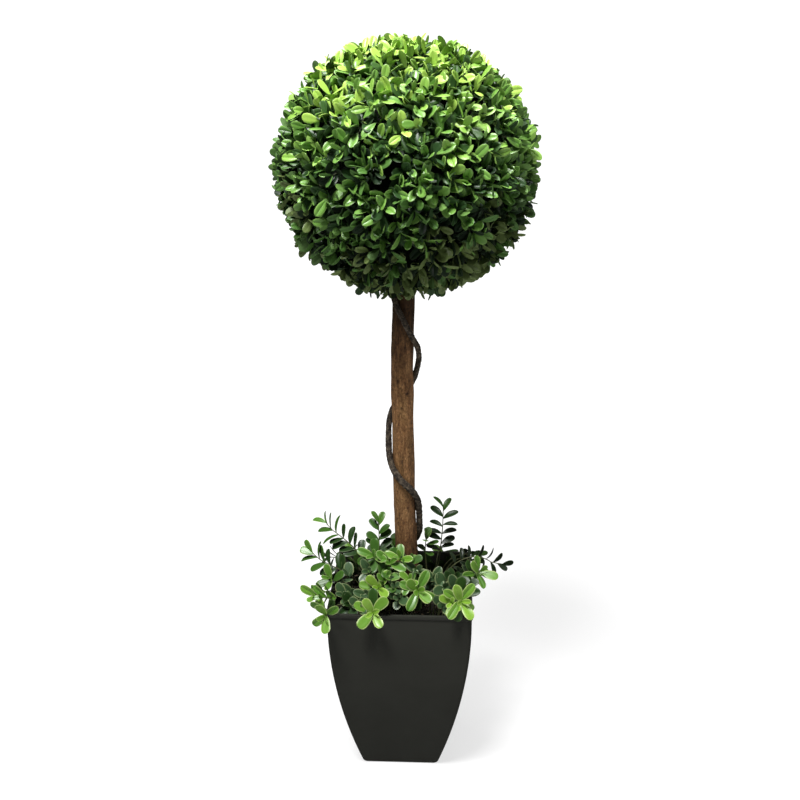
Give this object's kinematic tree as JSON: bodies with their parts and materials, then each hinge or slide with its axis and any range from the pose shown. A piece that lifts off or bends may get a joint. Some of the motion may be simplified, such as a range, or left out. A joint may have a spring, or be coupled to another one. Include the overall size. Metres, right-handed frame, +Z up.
{
  "type": "artificial box topiary ball tree in a pot",
  "caption": "Artificial box tree clipped to a leafy ball on a bare wooden stem wound with a vine, standing in a tapered square pot among short leafy sprigs.",
  "frame": {"origin": "centre of the pot's flat underside", "axes": "+Z up along the stem, +X to the right of the pot's front, -Y towards the front"},
  "size_m": [0.2935, 0.2972, 0.8964],
  "materials": {
    "pot": "satin moulded plastic, near black",
    "fill": "dark earth and moss over cement",
    "bark": "rough brown bark with knots",
    "vine": "dark rough vine",
    "ball_leaf": "satin moulded leaves",
    "sprig_leaf": "satin moulded leaves"
  },
  "bodies": {
    "root": {"pot": "pot", "fill": "fill", "trunk": "bark", "vine": "vine", "ball": "ball_leaf", "sprig_back_left": "sprig_leaf", "sprig_left": "sprig_leaf", "sprig_behind_trunk": "sprig_leaf", "sprig_trunk_right": "sprig_leaf", "sprig_tall_right": "sprig_leaf", "sprig_right": "sprig_leaf", "sprig_low_right": "sprig_leaf", "sprig_front_left": "sprig_leaf", "sprig_left_low": "sprig_leaf", "sprig_front": "sprig_leaf", "sprig_front_mid": "sprig_leaf", "sprig_trunk_left": "sprig_leaf", "sprig_trunk_front": "sprig_leaf", "sprig_front_right": "sprig_leaf", "sprig_right_mid": "sprig_leaf", "sprig_corner_right": "sprig_leaf", "sprig_inner_left": "sprig_leaf", "sprig_back_right": "sprig_leaf", "sprig_back": "sprig_leaf", "sprig_back_corner": "sprig_leaf"}
  },
  "joints": []
}
